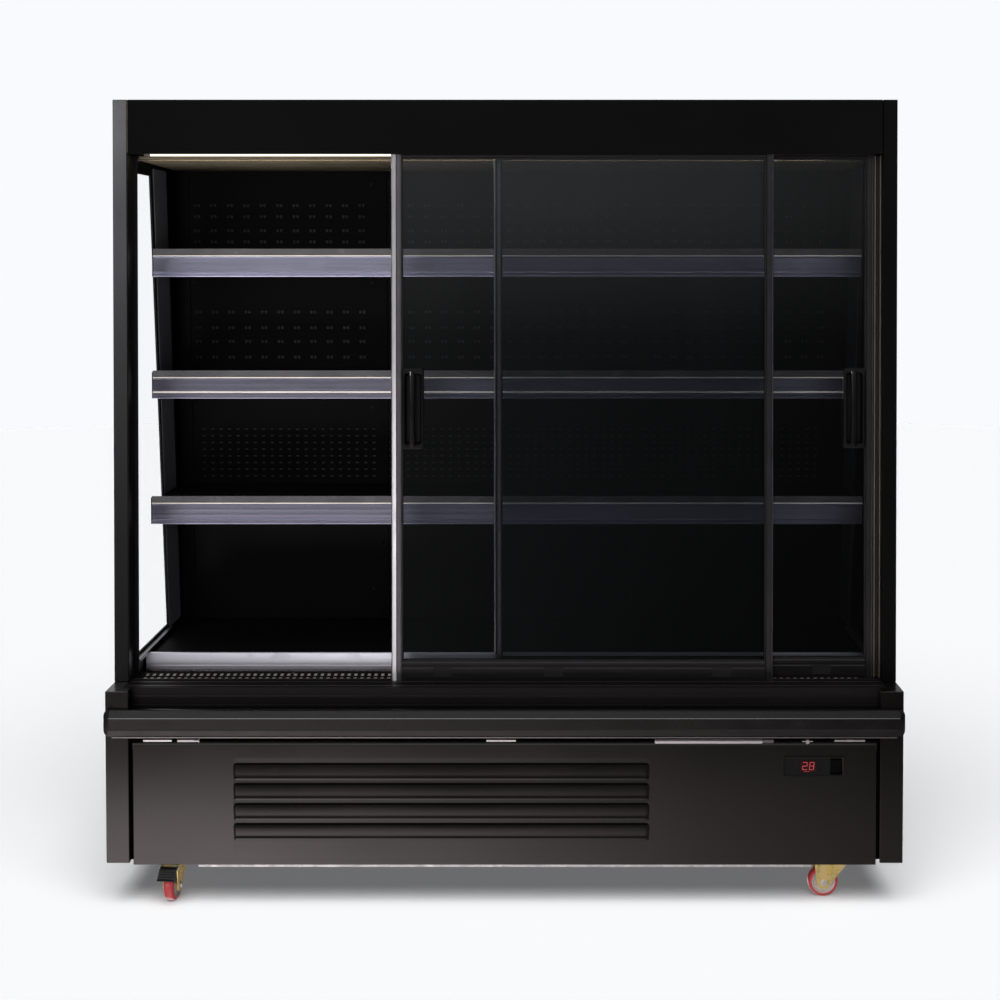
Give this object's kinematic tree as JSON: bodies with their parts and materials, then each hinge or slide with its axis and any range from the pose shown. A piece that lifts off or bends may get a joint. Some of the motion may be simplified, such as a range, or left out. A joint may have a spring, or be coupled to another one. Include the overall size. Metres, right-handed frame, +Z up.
{
  "type": "refrigerated display case",
  "caption": "Upright open-shelf refrigerated display case with sliding glass doors, glazed ends, a base machine compartment and swivel casters.",
  "frame": {"origin": "on the floor under the centre of the case's bounding box", "axes": "+X to the right as seen from the front, +Y towards the back, +Z up"},
  "size_m": [1.98, 0.84, 2.008],
  "materials": {
    "black_paint": "gloss",
    "black_satin": "satin",
    "black_plastic": "gloss",
    "black_rubbery_plastic": "satin",
    "silver_aluminium": "satin",
    "galvanised_steel": "satin",
    "yellow_zinc": "satin",
    "finned_aluminium": "satin",
    "clear_glass": "polished",
    "dark_glass": "polished",
    "red_urethane": "satin",
    "lamp_diffuser": "satin",
    "red_display": "gloss"
  },
  "bodies": {
    "case": {"base_tray": "galvanised_steel", "tub": "black_satin", "end_panel_left": "black_paint", "end_panel_right": "black_paint", "side_frame_left": "black_paint", "side_frame_right": "black_paint", "side_glass_left": "clear_glass", "side_glass_right": "dark_glass", "back_panel": "black_satin", "canopy": "black_satin", "fascia": "black_paint", "head_track": "black_satin", "canopy_lamp": "lamp_diffuser", "duct_panel": "black_satin", "upright_1": "black_satin", "upright_2": "black_satin", "upright_3": "black_satin", "upright_4": "black_satin", "shelf_top": "black_satin", "shelf_middle": "black_satin", "shelf_lower": "black_satin", "price_rail_top": "silver_aluminium", "price_rail_middle": "silver_aluminium", "price_rail_lower": "silver_aluminium", "deck_pan": "black_satin", "deck_trim": "silver_aluminium", "air_return_grille": "black_satin", "door_sill": "black_paint", "front_panel": "black_paint", "bumper": "black_rubbery_plastic", "controller_housing": "black_plastic", "controller_display": "red_display", "rear_grille": "black_satin", "cable_gland": "black_plastic", "compressor": "black_satin", "condenser_coil": "finned_aluminium", "condenser_fan_shroud": "black_satin", "drip_tray": "galvanised_steel", "evaporator_coil": "finned_aluminium", "evaporator_fan_plate": "galvanised_steel"},
    "door_front": {"door_front_frame": "silver_aluminium", "door_front_glass": "clear_glass", "door_front_handle": "black_plastic"},
    "door_rear": {"door_rear_frame": "silver_aluminium", "door_rear_glass": "clear_glass", "door_rear_handle": "black_plastic"},
    "button": {"controller_button": "black_plastic"},
    "switch": {"power_switch": "black_plastic"},
    "condenser_fan_rotor": {"condenser_fan": "black_plastic"},
    "evaporator_fan_rotor_left": {"evaporator_fan_left": "black_plastic"},
    "evaporator_fan_rotor_right": {"evaporator_fan_right": "black_plastic"},
    "fork_front_left": {"caster_fork_front_left": "yellow_zinc"},
    "fork_front_right": {"caster_fork_front_right": "yellow_zinc"},
    "fork_rear_left": {"caster_fork_rear_left": "yellow_zinc"},
    "fork_rear_right": {"caster_fork_rear_right": "yellow_zinc"},
    "wheel_front_left": {"caster_wheel_front_left": "red_urethane"},
    "wheel_front_right": {"caster_wheel_front_right": "red_urethane"},
    "wheel_rear_left": {"caster_wheel_rear_left": "red_urethane"},
    "wheel_rear_right": {"caster_wheel_rear_right": "red_urethane"},
    "pedal": {"brake_pedal": "black_rubbery_plastic"}
  },
  "joints": [
    {"name": "door_front_slide", "type": "slide", "parent": "case", "child": "door_front", "axis": [1, 0, 0], "range_m": [-0.649, 0.255]},
    {"name": "door_rear_slide", "type": "slide", "parent": "case", "child": "door_rear", "axis": [1, 0, 0], "range_m": [-0.905, 0]},
    {"name": "button_press", "type": "slide", "parent": "case", "child": "button", "axis": [0, 1, 0], "range_m": [0, 0.0015], "stiffness_N_per_m": 200, "springref_m": -0.001},
    {"name": "switch_rock", "type": "hinge", "parent": "case", "child": "switch", "pos_m": [0.823, -0.391, 0.34975], "axis": [1, 0, 0], "range_deg": [-14, 0]},
    {"name": "condenser_fan_spin", "type": "hinge", "parent": "case", "child": "condenser_fan_rotor", "pos_m": [0.02, -0.274, 0.226], "axis": [0, 1, 0], "continuous": true},
    {"name": "evaporator_fan_left_spin", "type": "hinge", "parent": "case", "child": "evaporator_fan_rotor_left", "pos_m": [-0.45, -0.046, 0.462], "axis": [0, 1, 0], "continuous": true},
    {"name": "evaporator_fan_right_spin", "type": "hinge", "parent": "case", "child": "evaporator_fan_rotor_right", "pos_m": [0.45, -0.046, 0.462], "axis": [0, 1, 0], "continuous": true},
    {"name": "swivel_front_left", "type": "hinge", "parent": "case", "child": "fork_front_left", "pos_m": [-0.831, -0.326, 0.1], "axis": [0, 0, 1], "continuous": true},
    {"name": "swivel_front_right", "type": "hinge", "parent": "case", "child": "fork_front_right", "pos_m": [0.831, -0.326, 0.1], "axis": [0, 0, 1], "continuous": true},
    {"name": "swivel_rear_left", "type": "hinge", "parent": "case", "child": "fork_rear_left", "pos_m": [-0.831, 0.33, 0.1], "axis": [0, 0, 1], "continuous": true},
    {"name": "swivel_rear_right", "type": "hinge", "parent": "case", "child": "fork_rear_right", "pos_m": [0.831, 0.33, 0.1], "axis": [0, 0, 1], "continuous": true},
    {"name": "roll_front_left", "type": "hinge", "parent": "fork_front_left", "child": "wheel_front_left", "pos_m": [-0.83403, -0.35484, 0.0375], "axis": [0.9945, -0.1045, 0], "continuous": true},
    {"name": "roll_front_right", "type": "hinge", "parent": "fork_front_right", "child": "wheel_front_right", "pos_m": [0.80202, -0.32701, 0.0375], "axis": [0.0349, -0.9994, 0], "continuous": true},
    {"name": "roll_rear_left", "type": "hinge", "parent": "fork_rear_left", "child": "wheel_rear_left", "pos_m": [-0.8165, 0.35512, 0.0375], "axis": [-0.866, 0.5, 0], "continuous": true},
    {"name": "roll_rear_right", "type": "hinge", "parent": "fork_rear_right", "child": "wheel_rear_right", "pos_m": [0.81874, 0.35628, 0.0375], "axis": [-0.9063, -0.4226, 0], "continuous": true},
    {"name": "brake_press", "type": "hinge", "parent": "fork_front_left", "child": "pedal", "pos_m": [-0.83662, -0.3795, 0.088], "axis": [0.9945, -0.1045, 0], "range_deg": [0, 10], "stiffness_Nm_per_rad": 0.5, "springref_deg": -5.73}
  ]
}
